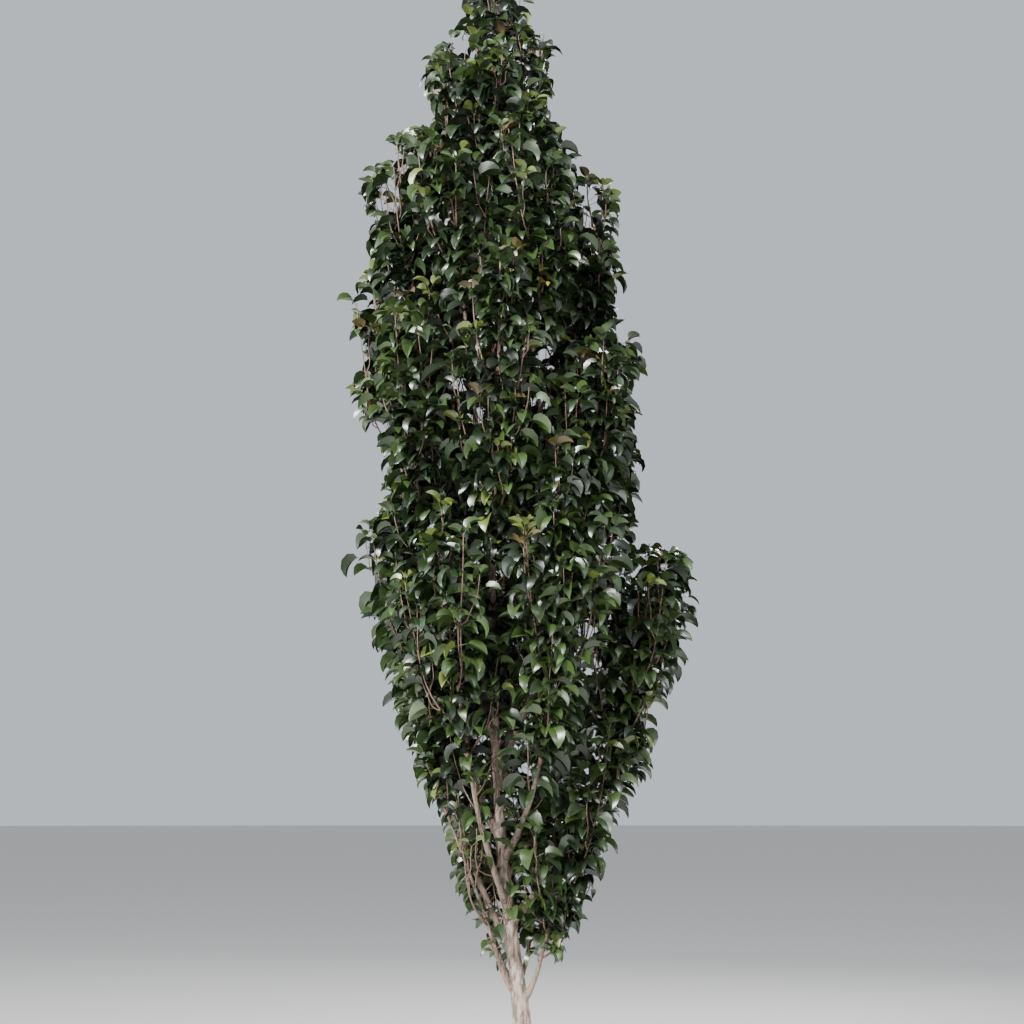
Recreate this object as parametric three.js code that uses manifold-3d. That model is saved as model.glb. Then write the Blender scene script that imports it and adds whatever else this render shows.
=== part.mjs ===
// A young columnar ornamental pear in full leaf, rooted in the ground.
// One trunk runs up through the whole crown. Steep boughs leave it at narrow angles, and each
// carries one upright mass of twigs and leaves. The masses stand round the trunk in tiers, and
// the tip mass ends the trunk itself. Leaves are larger than life: each stands for a spray.
// Millimetres, +Z up, the origin at the middle of the flat cut under the trunk.
// +X is to the right as the tree is seen from its front, which faces -Y.

import * as THREE from 'three';
import { mergeVertices } from 'three/addons/utils/BufferGeometryUtils.js';
import Module from 'manifold-3d';

// Trunk: its radius at these heights, its lean to the left between two heights, and its root flare.
const TRUNK_TOP = 4540;
const TRUNK_RADII = [
  [0, 45], [500, 40], [850, 36], [1000, 28], [1400, 22],
  [2000, 18], [3000, 14], [4000, 9.5], [TRUNK_TOP, 6.5],
];
const LEAN = 140;
const LEAN_FROM = 400;
const LEAN_TO = 2100;
const WAVER = 9;
const WAVER_LENGTH = 1500;
const FLARE_HEIGHT = 210;
const FLARE = 30;
const ROOT_RIBS = 5;
const RIB_DEPTH = 12;
const TRUNK_SIDES = 10;
const TRUNK_STEPS = 24;

// Crown: how far the leaves reach from the trunk's axis to the left and right at these heights.
const CROWN = [
  [960, 120, 120], [1120, 130, 270], [1300, 190, 400], [1530, 240, 560], [1720, 310, 710],
  [1900, 400, 690], [2060, 520, 770], [2200, 560, 880], [2420, 620, 930], [2570, 650, 910],
  [2700, 600, 700], [2880, 470, 660], [3050, 490, 650], [3200, 580, 640], [3450, 610, 700],
  [3650, 670, 620], [3800, 640, 570], [4000, 550, 550], [4180, 620, 580], [4290, 560, 500],
  [4460, 420, 390], [4600, 310, 260], [4800, 320, 310], [4920, 220, 220], [5050, 180, 190],
  [5180, 90, 90],
];
// The same to the front and to the back.
const CROWN_DEPTH = [
  [960, 120], [1300, 290], [1900, 520], [2400, 640], [3700, 590], [4180, 540], [4460, 400],
  [4800, 290], [5050, 180], [5180, 90],
];

// Tiers of shoots: how many, the heights of their tips on the left and on the right, the heights
// where their boughs leave the trunk, the first one's azimuth, how much of a turn they share, a
// bough's radius at the trunk, and the share of the crown's reach where it ends. The skirt leaves
// the front of the trunk bare.
const TIERS = [
  {
    name: 'skirt', count: 4, left: 1930, right: 2020, forks: [870, 960],
    first: 345, turn: 300, radius: 12, reach: 0.52,
  },
  {
    name: 'low', count: 7, left: 2860, right: 2860, forks: [1060, 1420],
    first: 197, turn: 360, radius: 14, reach: 0.6,
  },
  {
    name: 'middle', count: 7, left: 3830, right: 3600, forks: [1480, 2300],
    first: 171, turn: 360, radius: 13, reach: 0.52,
  },
  {
    name: 'high', count: 7, left: 4350, right: 4450, forks: [2550, 3050],
    first: 197, turn: 360, radius: 10, reach: 0.5,
  },
  {
    name: 'shoulder', count: 4, left: 4890, right: 4870, forks: [3500, 3800],
    first: 168, turn: 360, radius: 7.5, reach: 0.28,
  },
];
const SKIRT_FOOT = 1040;
const SKIRT_STAGGER = 120;
const STAGGER = 280;
const TIER_OVERLAP = 230;
const FORK_STRIDE = 3;

// Boughs: they swing out early, then rise. Their stems end a share of the reach from the trunk.
const TIP_REACH = 0.82;
const BOUGH_SWING = 0.73;
const BOUGH_TIP_RADIUS = 8;
const BOUGH_SIDES = 5;
const BOUGH_STEPS = 4;
const GAP = 0.3;

// Stem of a mass, which goes on from its bough's tip, or from the trunk's for the tip mass.
const TOP_STEM_TIP = 5130;
const STEM_TIP_RADIUS = 4.5;
const STEM_STRAIGHT = 0.4;
const STEM_SIDES = 4;
const STEM_STEPS = 4;

// Core of a mass: the stretch of the stem that it wraps, and how far it may reach from it.
const CORE_FROM = 0.04;
const CORE_TO = 0.9;
const CORE_LEAST = 25;
const CORE_MOST = 140;
const CORE_BLUNTNESS = 0.6;
const CORE_FULLNESSES = [1, 0.8, 0.6, 0.4, 0.25];
const CORE_SIDES = 6;
const CORE_RINGS = 5;
const CORE_CLEAR = 5;
const ROOM_STEP = 12;

// Twigs: where they leave the stem, and how they spread and then turn up.
const TWIGS = 2;
const TWIG_FROM = 0.15;
const TWIG_TO = 0.9;
const TWIG_LENGTHS = [330, 270, 210, 150];
const TWIG_RADIUS = 6.5;
const TWIG_TIP_RADIUS = 4.5;
const TWIG_SPREAD = 52;
const TWIG_BEND = 0.45;
const TWIG_OUT = 0.7;
const TWIG_RISE = 0.34;
const TWIG_SIDES = 3;
const TWIG_STEPS = 2;
const TWIG_END = 30;

// Leaves: their size, the bend from stalk to blade, and how they stand on the wood.
const LEAF_PITCH = 60;
const LEAF_LENGTH = 240;
const LEAF_WIDTH = 170;
const LEAF_THICKNESS = 4;
const LEAF_FOLD = 8;
const LEAF_SIZES = [1, 0.8, 0.6];
const LEAF_TURNS = 4;
const LEAF_ARC = 0.65;
const LEAF_RISE = 0.45;
const LEAF_FALL = 2;
const LEAF_SPAN = 105;
const LEAF_EDGE = 2;
const LEAF_CLEAR = 1;
const STALK_SHARE = 0.26;
const WIDEST_SHARE = 0.5;
const LIGHT_RISE = 0.5;
const LIGHT_TURN = 0.5;
const ROOT_DEPTH = 5;
const THIN_ROOT_DEPTH = 1.8;
const TOP_LEAVES_FROM = 0.9;
const TOP_LEAF_SPREAD = 45;

const SMALLEST_EDGE = 0.3;
const FIRST_SEED = 131;
const SEED_STEP = 37;
const GOLDEN_ANGLE = THREE.MathUtils.degToRad(137.508);
const FULL_TURN = 2 * Math.PI;
const UP = new THREE.Vector3(0, 0, 1);

const BARK = { color: 0x8f8378, roughness: 0.9, metalness: 0 };
const BOUGH_BARK = { color: 0x6f5a4e, roughness: 0.85, metalness: 0 };
const FOLIAGE = { color: 0x2c4020, roughness: 0.45, metalness: 0 };

const wasm = await Module();
wasm.setup();

const clamp = THREE.MathUtils.clamp;
const lerp = THREE.MathUtils.lerp;
const smooth = (low, high, value) => THREE.MathUtils.smoothstep(value, low, high);
const radians = THREE.MathUtils.degToRad;
const level = (azimuth) => new THREE.Vector3(Math.cos(azimuth), Math.sin(azimuth), 0);

// A number from 0 to 1 at each call, always the same for the same seed.
function seeded(seed) {
  let state = seed;
  return () => {
    state = (state * 48271) % 2147483647;
    return state / 2147483647;
  };
}

// The columns after the first in a table of stations, at a height between two of its rows.
function atHeight(table, height) {
  const next = clamp(table.findIndex((row) => row[0] > height), 1, table.length - 1);
  const past = height >= table.at(-1)[0];
  const [low, high] = past ? table.slice(-2) : [table[next - 1], table[next]];
  const share = clamp((height - low[0]) / (high[0] - low[0]), 0, 1);
  return low.slice(1).map((value, column) => lerp(value, high[column + 1], share));
}

function trunkAxis(height) {
  const turn = (FULL_TURN * height) / WAVER_LENGTH;
  const waver = WAVER * smooth(0, LEAN_TO, height);
  const side = -LEAN * smooth(LEAN_FROM, LEAN_TO, height) + waver * Math.sin(turn);
  return new THREE.Vector3(side, waver * Math.sin(0.7 * turn + 1), height);
}

const trunkRadius = (height) => atHeight(TRUNK_RADII, height)[0];

// How far the crown reaches from the trunk's axis at a height, towards an azimuth.
function crownReach(height, azimuth) {
  const [left, right] = atHeight(CROWN, height);
  const sideways = Math.cos(azimuth);
  const [depth] = atHeight(CROWN_DEPTH, height);
  return lerp(depth, sideways < 0 ? left : right, sideways * sideways);
}

// The point at a height that is a share of the crown's reach away from the trunk's axis.
function inCrown(height, azimuth, share) {
  return trunkAxis(height).addScaledVector(level(azimuth), crownReach(height, azimuth) * share);
}

function solid(geometry) {
  geometry.deleteAttribute('normal');
  geometry.deleteAttribute('uv');
  const merged = mergeVertices(geometry, 1e-4);
  return new wasm.Manifold(new wasm.Mesh({
    numProp: 3,
    vertProperties: new Float32Array(merged.attributes.position.array),
    triVerts: new Uint32Array(merged.index.array),
  }));
}

// The one body of a solid that is left when its loose scraps are dropped.
function largest(made) {
  return made.decompose().sort((a, b) => b.volume() - a.volume())[0];
}

// A round limb along a curve: a cylinder whose rings are moved onto the curve and given its radius.
function limb(curve, radiusAt, sides, steps) {
  const geometry = new THREE.CylinderGeometry(1, 1, 1, sides, steps);
  const position = geometry.attributes.position;
  const chord = curve.getPoint(1).sub(curve.getPoint(0)).normalize();
  const reference = Math.abs(chord.x) < 0.7 ? new THREE.Vector3(1, 0, 0) : new THREE.Vector3(0, 1, 0);
  const across = new THREE.Vector3();
  const over = new THREE.Vector3();
  for (let i = 0; i < position.count; i += 1) {
    const share = clamp(position.getY(i) + 0.5, 0, 1);
    const tangent = curve.getTangent(share);
    across.crossVectors(tangent, reference).normalize();
    over.crossVectors(across, tangent).normalize();
    const angle = Math.atan2(position.getZ(i), position.getX(i));
    const offAxis = Math.hypot(position.getX(i), position.getZ(i)) > 0.5 ? radiusAt(share, angle) : 0;
    const point = curve.getPoint(share);
    point.addScaledVector(across, -offAxis * Math.sin(angle));
    point.addScaledVector(over, offAxis * Math.cos(angle));
    position.setXYZ(i, point.x, point.y, point.z);
  }
  return solid(geometry);
}

// The trunk's axis as a curve. Its rings lie level, so that the cut at the ground is flat, and they
// stand closer together near the ground.
const trunkHeight = (share) => TRUNK_TOP * share ** 1.5;
class TrunkCurve extends THREE.Curve {
  getPoint(share) {
    return trunkAxis(trunkHeight(share));
  }

  getTangent() {
    return UP.clone();
  }
}

// The trunk, grown by a margin all round, with its root ribs fading out up the flare.
function makeTrunk(margin) {
  const radiusAt = (share, angle) => {
    const height = trunkHeight(share);
    const flare = clamp(1 - height / FLARE_HEIGHT, 0, 1) ** 2;
    return trunkRadius(height) + flare * (FLARE + RIB_DEPTH * Math.cos(ROOT_RIBS * angle)) + margin;
  };
  return limb(new TrunkCurve(), radiusAt, TRUNK_SIDES, TRUNK_STEPS);
}

// The plan of each shoot: where its bough leaves the trunk, and where its leafy stem starts and ends.
// Every other shoot of a tier is a little shorter, and the last one is the trunk's own tip.
function planShoots() {
  const tipHeight = (tier, azimuth) => lerp(tier.left, tier.right, (1 + Math.cos(azimuth)) / 2);
  const shoots = TIERS.flatMap((tier, rank) => Array.from({ length: tier.count }, (_, i) => {
    const azimuth = radians(tier.first + (tier.turn * i) / tier.count);
    const shorter = i % 2 ? (rank > 0 ? STAGGER : SKIRT_STAGGER) : 0;
    const foot = rank > 0 ? tipHeight(TIERS[rank - 1], azimuth) - TIER_OVERLAP : SKIRT_FOOT;
    const fork = lerp(tier.forks[0], tier.forks[1], ((i * FORK_STRIDE) % tier.count) / (tier.count - 1));
    const tip = tipHeight(tier, azimuth) - shorter;
    const { radius, reach } = tier;
    return { name: `${tier.name}_${i + 1}`, azimuth, fork, foot, tip, radius, reach };
  }));
  shoots.push({ name: 'tip', azimuth: 0, foot: TRUNK_TOP, tip: TOP_STEM_TIP });
  return shoots;
}

function boughCurve(shoot) {
  const start = trunkAxis(shoot.fork);
  const end = inCrown(shoot.foot, shoot.azimuth, shoot.reach);
  const bend = start.clone().lerp(end, BOUGH_SWING).setZ(lerp(shoot.fork, shoot.foot, 0.5));
  return new THREE.QuadraticBezierCurve3(start, bend, end);
}

function stemCurve(shoot) {
  if (!shoot.bough) {
    return new THREE.LineCurve3(trunkAxis(TRUNK_TOP + GAP), trunkAxis(TRUNK_TOP).setZ(shoot.tip));
  }
  const foot = shoot.bough.getPoint(1);
  const way = shoot.bough.getTangent(1);
  const start = foot.clone().addScaledVector(way, GAP);
  const bend = foot.clone().addScaledVector(way, (shoot.tip - shoot.foot) * STEM_STRAIGHT);
  return new THREE.QuadraticBezierCurve3(start, bend, inCrown(shoot.tip, shoot.azimuth, TIP_REACH));
}

// A leaf of eight faces: from its root in the wood out along its stalk, over its crest and down to
// its tip, with its two edges folded up and its upper face turned part of the way to the light.
function makeLeaf(root, way, size, depth) {
  const length = LEAF_LENGTH * size;
  const light = root.clone().sub(trunkAxis(root.z)).normalize().addScaledVector(UP, LIGHT_RISE);
  const fall = way.clone().addScaledVector(UP, -LEAF_FALL).normalize();
  const lit = new THREE.Vector3().crossVectors(fall, light).normalize();
  const width = new THREE.Vector3().crossVectors(fall, UP).normalize()
    .addScaledVector(lit, LIGHT_TURN).normalize();
  const face = new THREE.Vector3().crossVectors(width, way.clone().add(fall)).normalize();
  const heel = root.clone().addScaledVector(way, -depth);
  const crest = heel.clone().addScaledVector(way, STALK_SHARE * length);
  const tip = crest.clone().addScaledVector(fall, (1 - STALK_SHARE) * length);
  const corner = (side) => crest.clone().addScaledVector(width, side * 0.5 * LEAF_WIDTH * size)
    .addScaledVector(face, LEAF_FOLD).addScaledVector(fall, (WIDEST_SHARE - STALK_SHARE) * length);
  const over = crest.clone().addScaledVector(face, LEAF_THICKNESS / 2);
  const under = crest.clone().addScaledVector(face, -LEAF_THICKNESS / 2);
  const points = [heel, corner(1), tip, corner(-1), over, under];
  const [start, right, end, left, top, bottom] = points.keys();
  const geometry = new THREE.BufferGeometry().setFromPoints(points);
  geometry.setIndex([
    top, start, right, top, right, end, top, end, left, top, left, start,
    bottom, right, start, bottom, end, right, bottom, left, end, bottom, start, left,
  ]);
  return { points: points.slice(1), solid: solid(geometry) };
}

const shoots = planShoots();
for (const shoot of shoots) {
  if (shoot.fork) shoot.bough = boughCurve(shoot);
  shoot.stem = stemCurve(shoot);
  shoot.line = shoot.stem.getPoints(STEM_STEPS);
}

// The limbs, and each one grown a little, which is the room that a core leaves it. Where a bough
// meets the trunk it is cut back to stand a gap clear of it.
const limbs = new Map([['trunk', makeTrunk(0)]]);
const rooms = new Map([['trunk', makeTrunk(CORE_CLEAR)]]);
const trunkGap = makeTrunk(GAP);
for (const { name, bough, radius } of shoots.filter((shoot) => shoot.bough)) {
  const radiusAt = (margin) => (share) => lerp(radius, BOUGH_TIP_RADIUS, share) + margin;
  limbs.set(`bough_${name}`, largest(limb(bough, radiusAt(0), BOUGH_SIDES, BOUGH_STEPS).subtract(trunkGap)));
  rooms.set(`bough_${name}`, limb(bough, radiusAt(CORE_CLEAR), BOUGH_SIDES, BOUGH_STEPS));
}

const nearestOn = new THREE.Vector3();
function distanceTo(shoot, point) {
  let least = Infinity;
  for (let i = 1; i < shoot.line.length; i += 1) {
    new THREE.Line3(shoot.line[i - 1], shoot.line[i]).closestPointToPoint(point, true, nearestOn);
    least = Math.min(least, nearestOn.distanceTo(point));
  }
  return least;
}

// A mass's own space: inside the crown, and nearer to its own stem than to any other mass's.
function inSpace(shoot, point, margin) {
  const offAxis = point.clone().sub(trunkAxis(point.z));
  const azimuth = Math.atan2(offAxis.y, offAxis.x);
  if (offAxis.length() > crownReach(point.z, azimuth)) return false;
  const own = distanceTo(shoot, point) + margin;
  return shoots.every((other) => other === shoot || distanceTo(other, point) > own);
}

// Everything that stands so far. A new piece has to be clear of all of it but what it grows from.
const placed = [...limbs.values()].map((made) => ({ solid: made, box: made.boundingBox() }));

function boxesMeet(a, b) {
  return [0, 1, 2].every((k) => a.min[k] - LEAF_CLEAR < b.max[k] && b.min[k] - LEAF_CLEAR < a.max[k]);
}

function isClear(made, except) {
  const box = made.boundingBox();
  return placed.every((other) => except.includes(other.solid) || !boxesMeet(box, other.box)
    || made.minGap(other.solid, 2 * LEAF_CLEAR) >= LEAF_CLEAR);
}

function place(made) {
  placed.push({ solid: made, box: made.boundingBox() });
  return made;
}

// How far a mass's own space goes on from a point in a direction, as far as its core needs to know.
function roomTowards(shoot, from, way) {
  const enough = CORE_MOST + LEAF_SPAN;
  let room = 0;
  while (room < enough && inSpace(shoot, from.clone().addScaledVector(way, room + ROOM_STEP), 0)) {
    room += ROOM_STEP;
  }
  return room;
}

// The dense heart of a mass: a closed spindle round the stem that comes within a leaf's span of the
// edge of the mass's own space, and is cut clear of every limb.
function makeCore(shoot, fullness) {
  const geometry = new THREE.SphereGeometry(1, CORE_SIDES, CORE_RINGS);
  const position = geometry.attributes.position;
  for (let i = 0; i < position.count; i += 1) {
    const [x, y, z] = [position.getX(i), position.getY(i), position.getZ(i)];
    const centre = shoot.stem.getPoint(lerp(CORE_FROM, CORE_TO, (y + 1) / 2));
    const way = level(Math.atan2(-z, x));
    const reach = clamp(roomTowards(shoot, centre, way) - LEAF_SPAN, CORE_LEAST, CORE_MOST);
    centre.addScaledVector(way, fullness * reach * Math.hypot(x, z) ** CORE_BLUNTNESS);
    position.setXYZ(i, centre.x, centre.y, centre.z);
  }
  let core = solid(geometry);
  for (const [name, made] of limbs) {
    if (core.minGap(made, CORE_CLEAR) < CORE_CLEAR) core = core.subtract(rooms.get(name));
  }
  return largest(core);
}

// The direction at an angle round a limb, tipped away from the limb's own direction.
function awayFrom(way, angle, spread) {
  const side = new THREE.Vector3().crossVectors(way, new THREE.Vector3(0, 1, 0.01)).normalize();
  const front = new THREE.Vector3().crossVectors(side, way).normalize();
  return side.multiplyScalar(Math.cos(angle)).addScaledVector(front, Math.sin(angle))
    .multiplyScalar(Math.sin(radians(spread))).addScaledVector(way, Math.cos(radians(spread))).normalize();
}

// The point at a share of the way along a limb's straight pieces, and their direction there.
function alongLine(line, share) {
  const along = clamp(share, 0, 0.999) * (line.length - 1);
  const piece = Math.floor(along);
  const way = line[piece + 1].clone().sub(line[piece]);
  return [line[piece].clone().addScaledVector(way, along - piece), way.normalize()];
}

// Grows one leaf from a root point, made smaller or turned on by the golden angle until it is clear.
function growLeaf(shoot, rootAt, except, depth, vigour) {
  for (let turn = 0; turn < LEAF_TURNS; turn += 1) {
    const [root, way] = rootAt(turn * GOLDEN_ANGLE);
    for (const size of root ? LEAF_SIZES : []) {
      const leaf = makeLeaf(root, way, size * vigour, depth);
      const fits = leaf.points.every((point) => inSpace(shoot, point, LEAF_EDGE));
      if (fits && isClear(leaf.solid, except)) return [place(leaf.solid)];
    }
  }
  return [];
}

// Grows a twig from the stem, the longest that stays in the mass's space and clear of the limbs,
// and the leaf at its end.
function growTwig(shoot, share, angle, turn, vigour) {
  const wood = [shoot.stemWood, shoot.core];
  const [root, stemWay] = alongLine(shoot.line, share);
  const way = awayFrom(stemWay, angle, TWIG_SPREAD);
  for (const length of TWIG_LENGTHS) {
    const bend = root.clone().addScaledVector(way, TWIG_BEND * length);
    const end = root.clone().addScaledVector(way, TWIG_OUT * length).addScaledVector(UP, TWIG_RISE * length);
    const curve = new THREE.QuadraticBezierCurve3(root, bend, end);
    const made = limb(curve, (s) => lerp(TWIG_RADIUS, TWIG_TIP_RADIUS, s), TWIG_SIDES, TWIG_STEPS);
    if (inSpace(shoot, end, TWIG_END) && isClear(made, wood)) {
      place(made);
      const [leafRoot, tipWay] = alongLine(curve.getPoints(TWIG_STEPS), TOP_LEAVES_FROM);
      const rootAt = (turned) => [leafRoot, awayFrom(tipWay, turn + turned, TOP_LEAF_SPREAD)];
      return [made, ...growLeaf(shoot, rootAt, [made], THIN_ROOT_DEPTH, vigour)];
    }
  }
  return [];
}

// Grows a mass: two twigs, then leaves up the stem, turned on by the golden angle within an arc that
// faces outward. They root in the core's surface, or in the bare top of the stem.
function growMass(shoot, seed) {
  const random = seeded(seed);
  const wood = [shoot.stemWood, shoot.core];
  const grown = [...wood];
  for (let i = 0; i < TWIGS; i += 1) {
    const share = lerp(TWIG_FROM, TWIG_TO, (i + 0.3 * random()) / TWIGS);
    const side = (i % 2 ? 1 : -1) * (0.5 + random());
    grown.push(...growTwig(shoot, share, shoot.azimuth + side, FULL_TURN * random(), vigourFrom(random)));
  }
  const ray = new THREE.Raycaster();
  const surface = meshOf('core', shoot.core, { side: THREE.DoubleSide });
  const start = FULL_TURN * random();
  const leaves = Math.round(shoot.stem.getLength() / LEAF_PITCH);
  for (let i = 0; i < leaves; i += 1) {
    const share = (i + 0.5) / leaves;
    const atTop = share > TOP_LEAVES_FROM;
    const [onStem, stemWay] = alongLine(shoot.line, share);
    const rootAt = (turned) => {
      const spiral = (start + i * GOLDEN_ANGLE + turned) % FULL_TURN;
      const angle = shoot.azimuth + (spiral - Math.PI) * LEAF_ARC;
      if (atTop) return [onStem, awayFrom(stemWay, angle, TOP_LEAF_SPREAD)];
      const out = level(angle);
      ray.set(onStem, out);
      const hit = ray.intersectObject(surface).at(-1);
      return [hit && hit.point, out.addScaledVector(UP, LEAF_RISE).normalize()];
    };
    grown.push(...growLeaf(shoot, rootAt, wood, atTop ? THIN_ROOT_DEPTH : ROOT_DEPTH, vigourFrom(random)));
  }
  return largest(wasm.Manifold.union(grown).simplify(SMALLEST_EDGE));
}

// A leaf's own vigour, which makes it a little larger or smaller than the rest.
function vigourFrom(random) {
  return 0.9 + 0.2 * random();
}

function meshOf(name, made, look) {
  const { vertProperties, triVerts } = made.getMesh();
  const geometry = new THREE.BufferGeometry();
  geometry.setAttribute('position', new THREE.BufferAttribute(vertProperties, 3));
  geometry.setIndex(new THREE.BufferAttribute(triVerts, 1));
  geometry.computeVertexNormals();
  const mesh = new THREE.Mesh(geometry, new THREE.MeshStandardMaterial(look));
  mesh.name = name;
  return mesh;
}

// All stems stand before the first core is made, and all cores before the first leaf, so that no
// mass grows into the heart of another. A core that would meet another mass is made slimmer.
for (const shoot of shoots) {
  const radiusAt = (share) => lerp(BOUGH_TIP_RADIUS, STEM_TIP_RADIUS, share);
  shoot.stemWood = place(limb(shoot.stem, radiusAt, STEM_SIDES, STEM_STEPS));
}
for (const shoot of shoots) {
  const cores = CORE_FULLNESSES.map((fullness) => makeCore(shoot, fullness));
  shoot.core = place(cores.find((core) => isClear(core, [shoot.stemWood])) ?? cores.at(-1));
}

const tree = new THREE.Group();
tree.name = 'columnar_pear_tree';
for (const [name, made] of limbs) tree.add(meshOf(name, made, name === 'trunk' ? BARK : BOUGH_BARK));
shoots.forEach((shoot, i) => {
  tree.add(meshOf(`foliage_${shoot.name}`, growMass(shoot, FIRST_SEED + SEED_STEP * i), FOLIAGE));
});

export default tree;
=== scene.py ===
import math
from collections import namedtuple

import bpy
import numpy as np
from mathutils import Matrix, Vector, noise


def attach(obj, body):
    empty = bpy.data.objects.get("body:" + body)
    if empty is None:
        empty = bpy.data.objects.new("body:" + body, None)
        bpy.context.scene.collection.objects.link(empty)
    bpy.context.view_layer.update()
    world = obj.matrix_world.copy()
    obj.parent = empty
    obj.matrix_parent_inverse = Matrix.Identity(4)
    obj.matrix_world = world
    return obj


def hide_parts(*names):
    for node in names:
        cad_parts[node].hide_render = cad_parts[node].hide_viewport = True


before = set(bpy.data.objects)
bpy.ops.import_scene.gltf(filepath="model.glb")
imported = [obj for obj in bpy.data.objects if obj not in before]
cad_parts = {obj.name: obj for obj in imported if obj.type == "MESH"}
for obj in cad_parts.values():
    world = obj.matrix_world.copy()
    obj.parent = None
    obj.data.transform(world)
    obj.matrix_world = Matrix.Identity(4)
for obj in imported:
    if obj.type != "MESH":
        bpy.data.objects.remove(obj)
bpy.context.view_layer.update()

# Trunk
# The one stem of the tree, from the flat cut at the ground up through the crown to its tip. Its
# bark is grey, cracked into small scales near the ground and smooth above, and it swells under
# each bough that leaves it.

TRUNK_TOP = 4.54
TRUNK_HEIGHTS = (0, 0.5, 0.85, 1.0, 1.4, 2.0, 3.0, 4.0, TRUNK_TOP)
TRUNK_RADII = (0.045, 0.040, 0.036, 0.028, 0.022, 0.018, 0.014, 0.0095, 0.0065)
LEAN = 0.140
LEAN_FROM = 0.4
LEAN_TO = 2.1
WAVER = 0.009
WAVER_LENGTH = 1.5
DEPTH_WAVER_RATE = 0.7
DEPTH_WAVER_START = 1
FLARE_HEIGHT = 0.21
FLARE = 0.030
ROOT_RIBS = 5
RIB_DEPTH = 0.012
TRUNK_SIDES = 64
TRUNK_RING_GAPS = ((0, 0.006), (1.5, 0.008), (2.2, 0.02), (TRUNK_TOP, 0.02))

# The relief's waves to a metre, across, front to back and up: cracks 13 mm apart and 45 mm long,
# cross cracks 11 mm apart and 25 mm long, and a slow unevenness of 70 mm by 110 mm. The shifts keep
# the patterns apart.
CRACK_WAVES = (75, 75, 22)
CROSS_CRACK_WAVES = (40, 40, 90)
UNEVEN_WAVES = (14, 14, 9)
CRACK_SHIFT = 3
CROSS_CRACK_SHIFT = 9
CRACK_DEPTH = 0.0022
CRACK_WIDTH = 0.10
CROSS_CRACK_SHARE = 0.6
CRACKS_FADE = (0.7, 1.9)
CRACKS_FADE_BY = 0.8
UNEVENNESS = 0.0016
FULL_RELIEF_RADIUS = 0.03


def smooth(low, high, value):
    share = np.clip((np.asarray(value, float) - low) / (high - low), 0, 1)
    return share * share * (3 - 2 * share)


def between(start, end, share):
    return start + (end - start) * share


def trunk_axis(height):
    height = np.asarray(height, float)
    turn = 2 * math.pi * height / WAVER_LENGTH
    waver = WAVER * smooth(0, LEAN_TO, height)
    side = -LEAN * smooth(LEAN_FROM, LEAN_TO, height) + waver * np.sin(turn)
    depth = waver * np.sin(DEPTH_WAVER_RATE * turn + DEPTH_WAVER_START)
    return np.stack((side, depth, height), axis=-1)


def trunk_radius(height):
    return np.interp(height, TRUNK_HEIGHTS, TRUNK_RADII)


# Smooth noise at each point, with so many waves to a metre each way.
def knobbly(points, waves, shift=0):
    return np.array([noise.noise(Vector(p) + Vector((0, 0, shift)))
                     for p in (points.reshape(-1, 3) * waves).tolist()]).reshape(points.shape[:-1])


def bark_relief(points, cracked):
    crack = np.exp(-((knobbly(points, CRACK_WAVES, CRACK_SHIFT) / CRACK_WIDTH) ** 2))
    across = np.exp(-((knobbly(points, CROSS_CRACK_WAVES, CROSS_CRACK_SHIFT) / CRACK_WIDTH) ** 2))
    depth = np.minimum(crack + CROSS_CRACK_SHARE * across, 1)
    return UNEVENNESS * knobbly(points, UNEVEN_WAVES) - CRACK_DEPTH * cracked * depth


# The sRGB formula, from a hex colour to linear light.
def linear(hex_colour):
    parts = [int(hex_colour[i:i + 2], 16) / 255 for i in (1, 3, 5)]
    return (*(p / 12.92 if p <= 0.04045 else ((p + 0.055) / 1.055) ** 2.4 for p in parts), 1)


def add_node(material, kind, values=None, links=None, stops=(), **settings):
    node = material.node_tree.nodes.new(kind)
    for name, value in settings.items():
        setattr(node, name, value)
    for name, value in (values or {}).items():
        node.inputs[name].default_value = value
    for name, source in (links or {}).items():
        material.node_tree.links.new(source, node.inputs[name])
    for stop, (position, colour) in enumerate(stops):
        node.color_ramp.elements[stop].position = position
        node.color_ramp.elements[stop].color = colour
    return node


def new_material(name):
    material = bpy.data.materials.new(name)
    material.use_nodes = True
    material.node_tree.nodes.clear()
    return material


def add_piece(name, points, faces, material):
    mesh = bpy.data.meshes.new(name)
    mesh.from_pydata(np.asarray(points).tolist(), [], faces)
    mesh.materials.append(material)
    mesh.polygons.foreach_set("use_smooth", [True] * len(mesh.polygons))
    mesh.update()
    piece = bpy.data.objects.new(name, mesh)
    bpy.context.scene.collection.objects.link(piece)
    return piece


def tube_faces(rings, sides, first=0):
    faces = []
    for ring in range(rings - 1):
        for side in range(sides):
            low = first + ring * sides
            after = (side + 1) % sides
            faces.append((low + side, low + after, low + sides + after, low + sides + side))
    return faces


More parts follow.
